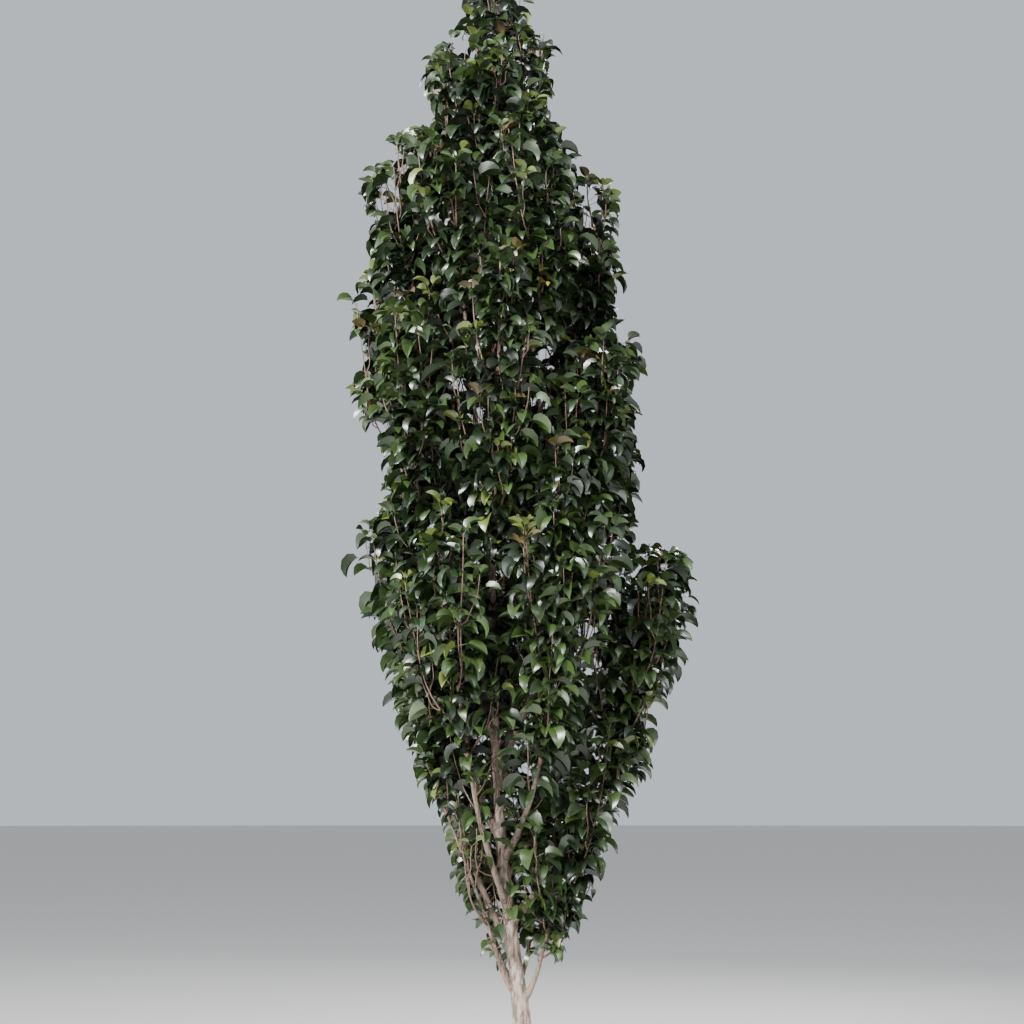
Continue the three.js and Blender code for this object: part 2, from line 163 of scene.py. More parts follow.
# Grey bark: pale scales between darker cracks, brownish lenticels and a green cast of algae. It is
# quite dull, so it stands out pale and soft against the glossy leaves. A scale's width is given in
# millimetres, and it is 3.6 times as long up the stem. The lenticels are flat spots, 10.5 mm apart
# round the stem, 95 to a metre. The algae's patches are 110 mm wide, 9 to a metre, and the grain
# is 2.4 mm, 420 to a metre.
LENTICEL_COLOUR = "#6a5344"
ALGAE_COLOUR = "#7d8068"
SCALE_SQUEEZE = 0.28
CRACK_EDGE = 0.2
LENTICEL_STRETCH = 3.2
LENTICELS_TO_METRE = 95
LENTICEL_CORE = 0.12
LENTICEL_EDGE = 0.22
LENTICEL_SHARE = (0.55, 0.55, 0.55, 1)
ALGAE_TO_METRE = 9
ALGAE_FROM = 0.5
ALGAE_FULL = 0.75
ALGAE_SHARE = (0.4, 0.4, 0.4, 1)
NO_SHARE = (0, 0, 0, 1)
GRAIN_TO_METRE = 420


# A mix node's inputs 0, 6 and 7 are its share and its two colours, and its output 2 is the result.
# The greys of a ramp are such shares: how much of the lenticels' or the algae's colour shows.
def make_bark(name, pale, dark, scale_width, crack_share):
    bark = new_material(name)
    place = add_node(bark, "ShaderNodeTexCoord")
    upright = add_node(bark, "ShaderNodeMapping", {"Scale": (1, 1, SCALE_SQUEEZE)},
                       {"Vector": place.outputs["Object"]})
    scales = add_node(bark, "ShaderNodeTexNoise",
                      {"Scale": 1000 / scale_width, "Detail": 5, "Roughness": 0.62},
                      {"Vector": upright.outputs[0]})
    tone = add_node(bark, "ShaderNodeValToRGB", links={"Fac": scales.outputs["Fac"]},
                    stops=((crack_share, linear(dark)), (crack_share + CRACK_EDGE, linear(pale))))
    flat = add_node(bark, "ShaderNodeMapping", {"Scale": (1, 1, LENTICEL_STRETCH)},
                    {"Vector": place.outputs["Object"]})
    lenticels = add_node(bark, "ShaderNodeTexVoronoi",
                         {"Scale": LENTICELS_TO_METRE, "Randomness": 1},
                         {"Vector": flat.outputs[0]})
    spots = add_node(bark, "ShaderNodeValToRGB", links={"Fac": lenticels.outputs["Distance"]},
                     stops=((LENTICEL_CORE, LENTICEL_SHARE), (LENTICEL_EDGE, NO_SHARE)))
    spotted = add_node(bark, "ShaderNodeMix", {7: linear(LENTICEL_COLOUR)},
                       {0: spots.outputs["Color"], 6: tone.outputs["Color"]}, data_type="RGBA")
    patches = add_node(bark, "ShaderNodeTexNoise", {"Scale": ALGAE_TO_METRE, "Detail": 3},
                       {"Vector": place.outputs["Object"]})
    algae = add_node(bark, "ShaderNodeValToRGB", links={"Fac": patches.outputs["Fac"]},
                     stops=((ALGAE_FROM, NO_SHARE), (ALGAE_FULL, ALGAE_SHARE)))
    colour = add_node(bark, "ShaderNodeMix", {7: linear(ALGAE_COLOUR)},
                      {0: algae.outputs["Color"], 6: spotted.outputs[2]}, data_type="RGBA")
    grain = add_node(bark, "ShaderNodeTexNoise", {"Scale": GRAIN_TO_METRE, "Detail": 4},
                     {"Vector": upright.outputs[0]})
    rough_face = add_node(bark, "ShaderNodeBump", {"Strength": 0.5, "Distance": 0.0012},
                          {"Height": grain.outputs["Fac"]})
    scaly_face = add_node(bark, "ShaderNodeBump", {"Strength": 0.7, "Distance": 0.002},
                          {"Height": tone.outputs["Color"], "Normal": rough_face.outputs[0]})
    shader = add_node(bark, "ShaderNodeBsdfPrincipled", {"Roughness": 0.86, "IOR": 1.45},
                      {"Base Color": colour.outputs[2], "Normal": scaly_face.outputs[0]})
    add_node(bark, "ShaderNodeOutputMaterial", links={"Surface": shader.outputs[0]})
    return bark


# The plan of each leafy shoot, as the boughs and masses of the solids have it: where its bough
# leaves the trunk, and where its stem starts and ends. The trunk swells where a bough leaves it.
# A tier has so many shoots, with their tips at one height on the left and another on the right,
# the lowest and highest fork, the first one's azimuth and the turn that they share in degrees,
# the boughs' radius, the share of the crown's reach where they end, and the second tips' drop.
Tier = namedtuple("Tier", "name count left_tip right_tip forks first turn radius reach drop")
TIERS = (
    Tier("skirt", 4, 1.93, 2.02, (0.87, 0.96), 345, 300, 0.012, 0.52, 0.12),
    Tier("low", 7, 2.86, 2.86, (1.06, 1.42), 197, 360, 0.014, 0.60, 0.28),
    Tier("middle", 7, 3.83, 3.60, (1.48, 2.30), 171, 360, 0.013, 0.52, 0.28),
    Tier("high", 7, 4.35, 4.45, (2.55, 3.05), 197, 360, 0.010, 0.50, 0.28),
    Tier("shoulder", 4, 4.89, 4.87, (3.50, 3.80), 168, 360, 0.0075, 0.28, 0.28),
)

# How far the crown reaches from the trunk to the left and to the right, and to the front and the
# back, at each height.
CROWN_HEIGHTS, CROWN_LEFT, CROWN_RIGHT = zip(
    (0.96, 0.12, 0.12), (1.12, 0.13, 0.27), (1.30, 0.19, 0.40), (1.53, 0.24, 0.56),
    (1.72, 0.31, 0.71), (1.90, 0.40, 0.69), (2.06, 0.52, 0.77), (2.20, 0.56, 0.88),
    (2.42, 0.62, 0.93), (2.57, 0.65, 0.91), (2.70, 0.60, 0.70), (2.88, 0.47, 0.66),
    (3.05, 0.49, 0.65), (3.20, 0.58, 0.64), (3.45, 0.61, 0.70), (3.65, 0.67, 0.62),
    (3.80, 0.64, 0.57), (4.00, 0.55, 0.55), (4.18, 0.62, 0.58), (4.29, 0.56, 0.50),
    (4.46, 0.42, 0.39), (4.60, 0.31, 0.26), (4.80, 0.32, 0.31), (4.92, 0.22, 0.22),
    (5.05, 0.18, 0.19), (5.18, 0.09, 0.09))
DEPTH_HEIGHTS, CROWN_DEPTH = zip(
    (0.96, 0.12), (1.30, 0.29), (1.90, 0.52), (2.40, 0.64), (3.70, 0.59), (4.18, 0.54),
    (4.46, 0.40), (4.80, 0.29), (5.05, 0.18), (5.18, 0.09))
SKIRT_FOOT = 1.04
TIER_OVERLAP = 0.23
FORK_STRIDE = 3
TIP_REACH = 0.82
BOUGH_SWING = 0.73
BOUGH_STEPS = 90
STEM_STRAIGHT = 0.4
STEM_STEPS = 41
GAP = 0.0003
TOP_STEM_TIP = 5.13


def crown_reach(height, azimuth):
    left = np.interp(height, CROWN_HEIGHTS, CROWN_LEFT)
    right = np.interp(height, CROWN_HEIGHTS, CROWN_RIGHT)
    sideways = np.cos(azimuth)
    depth = np.interp(height, DEPTH_HEIGHTS, CROWN_DEPTH)
    return between(depth, np.where(sideways < 0, left, right), sideways * sideways)


def level(azimuth):
    return np.stack((np.cos(azimuth), np.sin(azimuth), np.zeros_like(azimuth)), axis=-1)


def in_crown(height, azimuth, share):
    return trunk_axis(height) + level(azimuth) * crown_reach(height, azimuth) * share


def bend_curve(start, middle, end, steps):
    share = np.linspace(0, 1, steps)[:, None]
    return (1 - share) ** 2 * start + 2 * share * (1 - share) * middle + share ** 2 * end


def unit(vector):
    return vector / np.linalg.norm(vector, axis=-1, keepdims=True)


def tip_height(tier, azimuth):
    return between(tier.left_tip, tier.right_tip, (1 + math.cos(azimuth)) / 2)


def plan_shoots():
    shoots = []
    for rank, tier in enumerate(TIERS):
        for k in range(tier.count):
            azimuth = math.radians(tier.first + tier.turn * k / tier.count)
            foot = tip_height(TIERS[rank - 1], azimuth) - TIER_OVERLAP if rank else SKIRT_FOOT
            tip = tip_height(tier, azimuth) - (tier.drop if k % 2 else 0)
            fork = between(*tier.forks, (k * FORK_STRIDE) % tier.count / (tier.count - 1))
            start, end = trunk_axis(fork), in_crown(foot, azimuth, tier.reach)
            middle = between(start, end, BOUGH_SWING)
            middle[2] = (fork + foot) / 2
            way = unit(end - middle)
            stem_bend = end + way * (tip - foot) * STEM_STRAIGHT
            stem_end = in_crown(tip, azimuth, TIP_REACH)
            shoots.append({
                "name": f"{tier.name}_{k + 1}", "tier": tier.name, "azimuth": azimuth,
                "bough": bend_curve(start, middle, end, BOUGH_STEPS), "radius": tier.radius,
                "stem": bend_curve(end + way * GAP, stem_bend, stem_end, STEM_STEPS)})
    foot, tip = trunk_axis(TRUNK_TOP + GAP), trunk_axis(TRUNK_TOP)
    tip[2] = TOP_STEM_TIP
    shoots.append({"name": "tip", "tier": "tip", "azimuth": 0.0,
                   "stem": bend_curve(foot, (foot + tip) / 2, tip, STEM_STEPS)})
    return shoots


# The last of the shoots is the trunk's own tip, which has no bough.
shoots = plan_shoots()
bough_shoots = shoots[:-1]

# The trunk's swelling at a bough, in the bough's radii: its thickness, its middle's drop below the
# fork and its height. Its width is in radians round the trunk.
TRUNK_COLLAR_GROWTH = 0.42
TRUNK_COLLAR_DROP = 0.4
TRUNK_COLLAR_HEIGHT = 1.3
TRUNK_COLLAR_WIDTH = 0.8


def leaves_trunk(bough):
    off_axis = np.linalg.norm((bough - trunk_axis(bough[:, 2]))[:, :2], axis=1)
    return int(np.argmax(off_axis > trunk_radius(bough[:, 2])))


def collar_swelling(heights, angles):
    swelling = np.zeros((len(heights), len(angles)))
    for shoot in bough_shoots:
        exit_height = shoot["bough"][leaves_trunk(shoot["bough"])][2]
        up_by = (heights - exit_height) / shoot["radius"] + TRUNK_COLLAR_DROP
        turned = (angles - shoot["azimuth"] + math.pi) % (2 * math.pi) - math.pi
        tall = np.exp(-((up_by / TRUNK_COLLAR_HEIGHT) ** 2))
        wide = np.exp(-((turned / TRUNK_COLLAR_WIDTH) ** 2))
        swelling += TRUNK_COLLAR_GROWTH * shoot["radius"] * np.outer(tall, wide)
    return swelling


def build_trunk():
    heights = [0.0]
    while heights[-1] < TRUNK_TOP:
        gap = np.interp(heights[-1], *zip(*TRUNK_RING_GAPS))
        heights.append(min(heights[-1] + gap, TRUNK_TOP))
    heights = np.array(heights)
    angles = 2 * math.pi * np.arange(TRUNK_SIDES) / TRUNK_SIDES
    flare = np.maximum(1 - heights / FLARE_HEIGHT, 0) ** 2
    radii = trunk_radius(heights)[:, None] \
        + flare[:, None] * (FLARE + RIB_DEPTH * np.cos(ROOT_RIBS * angles))
    axis, out = trunk_axis(heights)[:, None], level(angles)
    cracked = 1 - CRACKS_FADE_BY * smooth(*CRACKS_FADE, heights)[:, None]
    relief = bark_relief(axis + radii[..., None] * out, cracked)
    radii = radii + relief * np.minimum(radii / FULL_RELIEF_RADIUS, 1)
    radii = radii + collar_swelling(heights, angles)
    points = (axis + radii[..., None] * out).reshape(-1, 3)
    rings = len(heights)
    faces = tube_faces(rings, TRUNK_SIDES)
    faces.append(tuple(reversed(range(TRUNK_SIDES))))
    faces.append(tuple((rings - 1) * TRUNK_SIDES + side for side in range(TRUNK_SIDES)))
    return points, faces


trunk_bark = make_bark("grey_trunk_bark", "#b8a698", "#66594f", scale_width=16, crack_share=0.40)
trunk_points, trunk_faces = build_trunk()
trunk = add_piece("trunk_with_bark", trunk_points, trunk_faces, trunk_bark)
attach(trunk, "root")
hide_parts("trunk")

# Main boughs
# Each is one limb that leaves the trunk at a narrow angle from a swollen collar, swings out and
# rises to carry a leafy stem. Their younger bark is browner and smoother than the trunk's.

BOUGH_TIP_RADIUS = 0.008
BOUGH_SIDES = 12
MOSTLY_SIDEWAYS = 0.7
COLLAR_LENGTH = 0.05
COLLAR_GROWTH = 0.32
RIDGE_LENGTH = 0.11
RIDGE_STEPS = 16
RIDGE_FOOT = 0.30
RIDGE_FOOT_SUNK = 1.15
RIDGE_INWARD = 0.5
RIDGE_GROWTH = 1.4

# The relief's waves to a metre, for knobs of 33 mm by 45 mm and a grain of 7 mm by 17 mm, and how
# much each changes the bough's radius.
KNOB_WAVES = (30, 30, 22)
KNOB_SHARE = 0.10
FINE_WAVES = (140, 140, 60)
FINE_SHARE = 0.05


def limb_points(line, radii, sides, relief=None):
    way = unit(np.gradient(line, axis=0))
    sideways = abs(way[0][0]) >= MOSTLY_SIDEWAYS
    reference = np.array((0, 1.0, 0)) if sideways else np.array((1.0, 0, 0))
    across = unit(np.cross(way, reference))[:, None]
    over = np.cross(across[:, 0], way)[:, None]
    angles = (2 * math.pi * np.arange(sides) / sides)[:, None]
    out = across * np.cos(angles) + over * np.sin(angles)
    radii = np.asarray(radii)[:, None]
    if relief:
        radii = radii * (1 + relief(line[:, None] + radii[..., None] * out))
    return (line[:, None] + radii[..., None] * out).reshape(-1, 3)


def limb_faces(rings, sides, first):
    faces = [face[::-1] for face in tube_faces(rings, sides, first)]
    faces.append(tuple(first + side for side in range(sides)))
    last = first + (rings - 1) * sides
    faces.append(tuple(last + side for side in reversed(range(sides))))
    return faces


def bough_relief(points):
    return KNOB_SHARE * knobbly(points, KNOB_WAVES) + FINE_SHARE * knobbly(points, FINE_WAVES)


# Below its collar each bough runs down the trunk as a ridge that narrows and sinks into the bark.
def add_ridge(line, radii, azimuth):
    out, way = level(np.array(azimuth)), unit(line[1] - line[0])
    foot_radius = radii[0] * RIDGE_FOOT
    foot = trunk_axis(line[0][2] - RIDGE_LENGTH)
    foot = foot + out * (trunk_radius(foot[2]) - RIDGE_FOOT_SUNK * foot_radius)
    inward = RIDGE_INWARD * trunk_radius(line[0][2]) / np.linalg.norm(way[:2])
    ridge = bend_curve(foot, line[0] - way * min(inward, RIDGE_LENGTH / 2), line[0], RIDGE_STEPS)
    growing = between(foot_radius, radii[0], np.linspace(0, 1, RIDGE_STEPS) ** RIDGE_GROWTH)
    return np.concatenate((ridge[:-1], line)), np.concatenate((growing[:-1], radii))


# Bough bark: the same bark when it is younger, with finer scales. It is browner and a little darker
# than the trunk's, so the boughs stand apart from it.
bough_bark = make_bark("brown_bough_bark", "#8d7c70", "#5d4d43", scale_width=10, crack_share=0.36)
bough_points, bough_faces = [], []
for shoot in bough_shoots:
    line = shoot["bough"]
    radii = between(shoot["radius"], BOUGH_TIP_RADIUS, np.linspace(0, 1, len(line)))
    leaves_at = leaves_trunk(line)
    line, radii = line[leaves_at:], radii[leaves_at:]
    from_trunk = np.linalg.norm(line - line[0], axis=1)
    radii = radii * (1 + COLLAR_GROWTH * np.exp(-((from_trunk / COLLAR_LENGTH) ** 2)))
    line, radii = add_ridge(line, radii, shoot["azimuth"])
    bough_faces += limb_faces(len(line), BOUGH_SIDES, len(bough_points))
    bough_points += limb_points(line, radii, BOUGH_SIDES, bough_relief).tolist()
boughs = add_piece("main_boughs", bough_points, bough_faces, bough_bark)
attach(boughs, "root")
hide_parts(*(f"bough_{shoot['name']}" for shoot in bough_shoots))

# Leafy stems, shoots and spurs
# Each bough goes on as an upright stem, and the trunk's tip as another. Side shoots leave the stem
# by a seeded rule, spread and turn up, and short spurs stand between them. They are the wood of the
# last two or three years, with thin reddish brown bark.

UP = np.array((0.0, 0.0, 1.0))
GOLDEN_ANGLE = math.radians(137.508)

# Each stem has a row of seeded numbers of its own.
FIRST_SEED = 131
SEED_STEP = 37
SEED_FACTOR = 48271
SEED_PRIME = 2147483647

# Stems: their last points carry the leaves of the tip, and the room between stems is measured in
# spans of so many points.
STEM_TIP_RADIUS = 0.003
STEM_TIP_POINTS = 8
STEM_SIDES = 8
STEM_SPAN = 10

# Side shoots: how far apart they stand and along which share of the stem, the lengths that are
# tried, the least and most spread from the stem in degrees, and the shares of the length up to the
# bend, outwards and upwards. They keep clear of the other stems and leave room for the leaves.
SHOOT_PITCH = 0.095
SHOOT_PLAY = 0.6
SHOOT_FROM = 0.01
SHOOT_TO = 0.93
SHOOT_LENGTHS = (0.72, 0.60, 0.49, 0.39, 0.30, 0.22, 0.15, 0.09)
SHORTEST = 0.9
LENGTH_PLAY = 0.2
SHOOT_SPREAD = (40, 62)
SHOOT_ARC = 0.95
SHOOT_BEND = 0.30
SHOOT_OUT = 0.41
SHOOT_RISE = 0.72
SHOOT_RADIUS = 0.0046
SHOOT_TIP_RADIUS = 0.0019
SHOOT_SIDES = 6
SHOOT_STEPS = 13
SHOOT_END_CLEAR = 0.02
HIGHEST_SHOOT = 5.12
LEAF_ROOM = 0.16
MOST_LEAF_ROOM = 0.072
ROOM_SHARES = (0.5, 1.15)
WOOD_WAVER = 0.006
WAVER_RATE = 9
WAVER_TURN = 6.28

# Twigs on the side shoots.
TWIG_PITCH = 0.10
TWIG_PLAY = 0.5
TWIG_FROM = 0.12
TWIG_SHARE = 0.86
TWIG_LENGTHS = (0.21, 0.15, 0.10)
TWIG_RADIUS = 0.0028
TWIG_SIDES = 5

# Inner shoots, as thin as twigs, on the boughs and on the trunk inside the crown.
INNER_PITCH = 0.085
INNER_FROM = 0.24
INNER_LOWEST = 1.15
INNER_LENGTHS = (0.32, 0.24, 0.17, 0.11)
INNER_BEND = 0.4
INNER_OUT = 0.55
INNER_RISE = 0.5
TRUNK_SHOOTS = 46
TRUNK_SHOOTS_FROM = 1.95
TRUNK_SHOOTS_TO = 4.50

# Spurs on the stems, between the side shoots.
SPUR_PITCH = 0.050
SPUR_PLAY = 0.5
SPUR_TURN = 1
SPUR_SPREAD = 62
SPUR_LENGTH = 0.022
SPUR_SHORTEST = 0.5
SPUR_STEPS = 3
SPUR_RADIUS = 0.0024
SPUR_TAPER = 0.8
ALMOST_END = 0.999


# A row of numbers from 0 to 1, spread evenly and the same each time for one seed.
def seeded(seed):
    state = [seed]

    def number():
        state[0] = state[0] * SEED_FACTOR % SEED_PRIME
        return state[0] / SEED_PRIME

    return number


# The way that stands off another by a spread in degrees. Its angle round the other is counted from
# a level side, which the small last number keeps from failing on a line that runs to the back.
def away_from(way, angle, spread):
    side = unit(np.cross(way, (0, 1, 0.01)))
    front = unit(np.cross(side, way))
    out = side * math.cos(angle) + front * math.sin(angle)
    return unit(out * math.sin(math.radians(spread)) + way * math.cos(math.radians(spread)))


# The point at a share of a line's steps, and the line's way there. The very end has no way on.
def along_line(line, share):
    place = min(max(share, 0), ALMOST_END) * (len(line) - 1)
    piece = int(place)
    way = line[piece + 1] - line[piece]
    return line[piece] + way * (place - piece), unit(way)


def line_length(line):
    return np.linalg.norm(np.diff(line, axis=0), axis=1).sum()


stem_marks = np.array([shoot["stem"][::STEM_SPAN] for shoot in shoots])
stem_starts, stem_ends = stem_marks[:, :-1], stem_marks[:, 1:]


# How far a point is from each stem.
def distance_to_stems(point):
    along = stem_ends - stem_starts
    share = ((point - stem_starts) * along).sum(-1) / (along * along).sum(-1)
    nearest = stem_starts + along * np.clip(share, 0, 1)[..., None]
    return np.linalg.norm(point - nearest, axis=-1).min(axis=1)


# Seen from the front at eye height, the crown steps in above each tier of shoot tips: how far, at
# each height, on the left and on the right.
SIGHT_FROM = (-0.06, -6.8, 1.6)
NOTCH_HEIGHTS, NOTCHES_LEFT, NOTCHES_RIGHT = zip(
    (0.98, 0, 0.02), (1.10, 0.03, 0.05), (1.20, 0.01, 0.03), (1.30, 0, 0.06), (1.53, 0.04, 0.02),
    (1.62, 0.02, 0), (1.67, 0, -0.06), (1.73, 0.01, -0.05), (1.85, 0.03, 0.04), (1.97, 0.04, 0.04),
    (2.05, -0.03, 0.03), (2.15, 0, 0.02), (2.22, 0, -0.04), (2.29, 0, -0.02), (2.40, 0, 0),
    (2.45, 0.04, 0), (2.60, 0, 0), (2.67, 0.03, 0.02), (2.70, 0.07, 0.10), (2.80, -0.01, 0.03),
    (2.84, 0.07, 0), (2.90, 0.05, -0.01), (3.04, 0.03, 0), (3.10, 0.04, 0.06), (3.20, -0.03, 0.04),
    (3.35, 0.01, 0.08), (3.45, 0.02, 0.02), (3.50, 0.07, 0), (3.55, 0.04, 0.01),
    (3.65, 0.03, 0.12), (3.76, 0.05, 0.03), (3.86, 0.11, 0.01), (3.97, 0.04, 0.04),
    (4.12, 0.05, 0.03), (4.18, 0, 0.04), (4.23, 0.02, 0.06), (4.28, 0.03, 0.10),
    (4.34, 0.14, 0.07), (4.40, 0.03, -0.03), (4.45, 0.04, -0.06), (4.50, 0.18, 0.13),
    (4.61, 0.02, 0.01), (4.74, 0, 0.07), (4.82, 0.05, 0), (4.93, 0.08, 0.06), (5.04, 0.03, 0.01))


# Where the eye sees each point in the trunk's plane: its place across and its height there.
def seen_from_front(point):
    eye_x, eye_y, eye_height = SIGHT_FROM
    nearer = eye_y / (eye_y - point[..., 1])
    return between(eye_x, point[..., 0], nearer), between(eye_height, point[..., 2], nearer)


# How far each point is from the crown's edge: less than nothing outside.
def reach_left(point):
    off_axis = point - trunk_axis(point[..., 2])
    azimuth = np.arctan2(off_axis[..., 1], off_axis[..., 0])
    reach = crown_reach(point[..., 2], azimuth) - np.linalg.norm(off_axis[..., :2], axis=-1)
    across, height = seen_from_front(point)
    aside = across - trunk_axis(height)[..., 0]
    seen_left, seen_right = (np.interp(height, CROWN_HEIGHTS, sides)
                             - np.interp(height, NOTCH_HEIGHTS, notches)
                             for sides, notches in ((CROWN_LEFT, NOTCHES_LEFT),
                                                    (CROWN_RIGHT, NOTCHES_RIGHT)))
    return np.minimum(reach, np.where(aside < 0, seen_left + aside, seen_right - aside))


# How far inside the crown's edge a shoot ends here, so that its leaves stay in.
def leaf_room(point):
    width = reach_left(trunk_axis(point[2]))
    return min(LEAF_ROOM * width, MOST_LEAF_ROOM)


def in_space(index, point, clear):
    distances = distance_to_stems(point)
    own = distances[index] + clear
    distances[index] = math.inf
    return bool((distances > own).all())


# The line with a waver to one side, which fades at both ends. The side is taken slightly off level,
# so that it never runs along the line.
def wavering(line, amount, number):
    phase, turn = WAVER_TURN * number(), WAVER_TURN * number()
    share = np.linspace(0, 1, len(line))[:, None]
    side = unit(np.cross(line[-1] - line[0], (math.cos(turn), math.sin(turn), 0.1)))
    return line + side * amount * np.sin(share * WAVER_RATE + phase) * np.sin(share * math.pi)


# The points and faces of many limbs, which become one piece.
class Wood:
    def __init__(self):
        self.points, self.faces = [], []

    def add(self, line, first_radius, last_radius, sides):
        radii = np.linspace(first_radius, last_radius, len(line))
        self.faces += limb_faces(len(line), sides, len(self.points))
        self.points += limb_points(line, radii, sides).tolist()


upright_stems = Wood()
wood_of_tier = {}
sprays = []


# A spray is the leaves of one shoot, one spur or one stem's tip.
def add_spray(kind, index, line, number):
    sprays.append({"kind": kind, "index": index, "line": line, "number": number()})


# A shoot is tried at one length after another, until it stays in the crown and nearer to its own
# stem than to any other.
def grow_side_shoot(index, root, way, lengths, number):
    room = between(*ROOM_SHARES, number())
    for length in lengths:
        length = length * (SHORTEST + LENGTH_PLAY * number())
        middle = root + way * SHOOT_BEND * length
        end = root + way * SHOOT_OUT * length + UP * SHOOT_RISE * length
        line = bend_curve(root, middle, end, SHOOT_STEPS)
        outer_half = line[SHOOT_STEPS // 2::SHOOT_STEPS // 2]
        if end[2] < HIGHEST_SHOOT and reach_left(outer_half).min() > room * leaf_room(end) \
                and in_space(index, end, SHOOT_END_CLEAR):
            return wavering(line, WOOD_WAVER, number)
    return None


def grow_twigs(index, line, wood, number):
    long = line_length(line)
    turn = 2 * math.pi * number()
    for k in range(int(TWIG_SHARE * long / TWIG_PITCH)):
        share = TWIG_FROM + (k + TWIG_PLAY * number()) * TWIG_PITCH / long
        root, shoot_way = along_line(line, share)
        way = away_from(shoot_way, turn + k * GOLDEN_ANGLE, between(*SHOOT_SPREAD, number()))
        twig = grow_side_shoot(index, root, way, TWIG_LENGTHS, number)
        if twig is not None:
            wood.add(twig, TWIG_RADIUS, SHOOT_TIP_RADIUS, TWIG_SIDES)
            add_spray("shoot", index, twig, number)


def grow_stem_shoots(index, shoot, start, wood, number):
    count = round(line_length(shoot["stem"]) / SHOOT_PITCH)
    for k in range(count):
        share = between(SHOOT_FROM, SHOOT_TO, (k + SHOOT_PLAY * number()) / count)
        spiral = (start + k * GOLDEN_ANGLE) % (2 * math.pi)
        angle = shoot["azimuth"] + (spiral - math.pi) * SHOOT_ARC
        root, stem_way = along_line(shoot["stem"], share)
        way = away_from(stem_way, angle, between(*SHOOT_SPREAD, number()))
        line = grow_side_shoot(index, root, way, SHOOT_LENGTHS, number)
        if line is not None:
            wood.add(line, SHOOT_RADIUS, SHOOT_TIP_RADIUS, SHOOT_SIDES)
            add_spray("shoot", index, line, number)
            grow_twigs(index, line, wood, number)


def grow_spurs(index, stem, start, wood, number):
    count = round(line_length(stem) / SPUR_PITCH)
    for k in range(count):
        share = (k + SPUR_PLAY * number()) / count
        root, stem_way = along_line(stem, share)
        way = away_from(stem_way, start + SPUR_TURN + k * GOLDEN_ANGLE, SPUR_SPREAD)
        end = root + way * SPUR_LENGTH * (SPUR_SHORTEST + number())
        line = bend_curve(root, (root + end) / 2, end, SPUR_STEPS)
        wood.add(line, SPUR_RADIUS, SPUR_RADIUS * SPUR_TAPER, TWIG_SIDES)
        add_spray("spur", index, line, number)


def grow_inner_shoot(index, root, limb_way, angle, wood, number):
    way = away_from(limb_way, angle, between(*SHOOT_SPREAD, number()))
    for length in INNER_LENGTHS:
        length = length * (SHORTEST + LENGTH_PLAY * number())
        end = root + way * INNER_OUT * length + UP * INNER_RISE * length
        line = bend_curve(root, root + way * INNER_BEND * length, end, SHOOT_STEPS)
        if reach_left(end) > leaf_room(end):
            line = wavering(line, WOOD_WAVER, number)
            wood.add(line, TWIG_RADIUS, SHOOT_TIP_RADIUS, TWIG_SIDES)
            add_spray("shoot", index, line, number)
            return


def grow_bough_shoots(index, bough, start, wood, number):
    count = round(line_length(bough) * (1 - INNER_FROM) / INNER_PITCH)
    for k in range(count):
        root, bough_way = along_line(bough, between(INNER_FROM, 1, (k + number()) / count))
        if root[2] > INNER_LOWEST:
            grow_inner_shoot(index, root, bough_way, start + k * GOLDEN_ANGLE, wood, number)


for index, shoot in enumerate(shoots):
    number = seeded(FIRST_SEED + SEED_STEP * index)
    wood = wood_of_tier.setdefault(shoot["tier"], Wood())
    stem = shoot["stem"]
    stem_radius = BOUGH_TIP_RADIUS if "bough" in shoot else TRUNK_RADII[-1]
    upright_stems.add(stem, stem_radius, STEM_TIP_RADIUS, STEM_SIDES)
    start = 2 * math.pi * number()
    grow_stem_shoots(index, shoot, start, wood, number)
    grow_spurs(index, stem, start, wood, number)
    add_spray("tip", index, stem[-STEM_TIP_POINTS:], number)
    if "bough" in shoot:
        grow_bough_shoots(index, shoot["bough"], start, wood, number)

number = seeded(FIRST_SEED)
for k in range(TRUNK_SHOOTS):
    height = between(TRUNK_SHOOTS_FROM, TRUNK_SHOOTS_TO, (k + SHOOT_PLAY * number()) / TRUNK_SHOOTS)
    root = trunk_axis(height)
    index = int(np.argmin(distance_to_stems(root)))
    grow_inner_shoot(index, root, UP, k * GOLDEN_ANGLE, wood_of_tier[shoots[index]["tier"]], number)

# Shoot bark: thin, taut and reddish brown, with a slight sheen, a little greyer in patches. The
# patches are 22 mm wide, 45 to a metre, and the grain 1.4 mm, 700 to a metre.
SHOOT_PATCHES_TO_METRE = 45
SHOOT_GRAIN_TO_METRE = 700
shoot_bark = new_material("reddish_shoot_bark")
shoot_place = add_node(shoot_bark, "ShaderNodeTexCoord")
shoot_patches = add_node(shoot_bark, "ShaderNodeTexNoise",
                         {"Scale": SHOOT_PATCHES_TO_METRE, "Detail": 3},
                         {"Vector": shoot_place.outputs["Object"]})
shoot_tone = add_node(shoot_bark, "ShaderNodeMix",
                      {6: linear("#5e4438"), 7: linear("#7c665b")},
                      {0: shoot_patches.outputs["Fac"]}, data_type="RGBA")
shoot_grain = add_node(shoot_bark, "ShaderNodeTexNoise",
                       {"Scale": SHOOT_GRAIN_TO_METRE, "Detail": 2},
                       {"Vector": shoot_place.outputs["Object"]})
shoot_bump = add_node(shoot_bark, "ShaderNodeBump", {"Strength": 0.3, "Distance": 0.0005},
                      {"Height": shoot_grain.outputs["Fac"]})
shoot_shader = add_node(shoot_bark, "ShaderNodeBsdfPrincipled", {"Roughness": 0.55, "IOR": 1.45},
                        {"Base Color": shoot_tone.outputs[2], "Normal": shoot_bump.outputs[0]})
